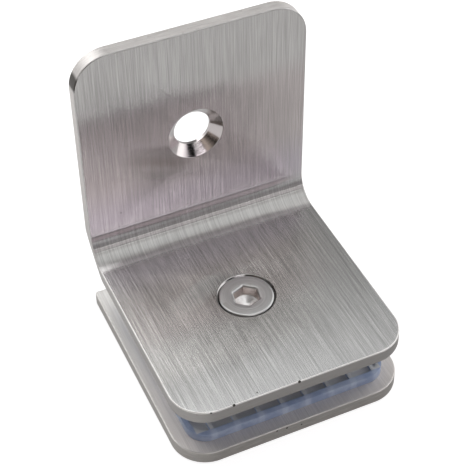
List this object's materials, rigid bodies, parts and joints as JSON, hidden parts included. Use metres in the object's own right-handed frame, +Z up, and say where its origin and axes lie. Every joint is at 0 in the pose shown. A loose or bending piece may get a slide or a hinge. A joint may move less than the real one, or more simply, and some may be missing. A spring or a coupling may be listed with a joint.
{
  "type": "wall-mounted glass clamp",
  "caption": "Wall-to-glass clamp: a right-angle bent steel bracket and a flat back plate grip a pane between ribbed gaskets, drawn together by a countersunk socket screw.",
  "frame": {"origin": "middle of the clamp's width and depth, on the back plate's outer face, which the clamp rests on", "axes": "+Z up along the screw and the wall leg, +Y from the clamp leg's front edge to the wall face, +X across the clamp"},
  "size_m": [0.05, 0.053, 0.066],
  "materials": {
    "bracket_steel": "brushed stainless, grain along the strip",
    "plate_steel": "brushed stainless",
    "screw_steel": "bright turned stainless",
    "gasket": "blue-grey translucent soft plastic, satin",
    "clear_sleeve": "clear plastic, slightly milky"
  },
  "bodies": {
    "back_plate": {"back_plate": "plate_steel", "plate_gasket": "gasket", "screw_sleeve": "clear_sleeve"},
    "bracket": {"angle_bracket": "bracket_steel", "bracket_gasket": "gasket"},
    "screw": {"clamp_screw": "screw_steel"}
  },
  "joints": [
    {"name": "clamp_opening", "type": "slide", "parent": "back_plate", "child": "bracket", "axis": [0, 0, 1], "range_m": [0, 0.002]},
    {"name": "screw_turn", "type": "hinge", "parent": "bracket", "child": "screw", "pos_m": [0, -0.001, 0.0155], "axis": [0, 0, 1], "range_deg": [0, 576]}
  ],
  "couplings": [
    {"joint": "screw_turn", "follows": "clamp_opening", "rad_per_m": 5026.5}
  ]
}
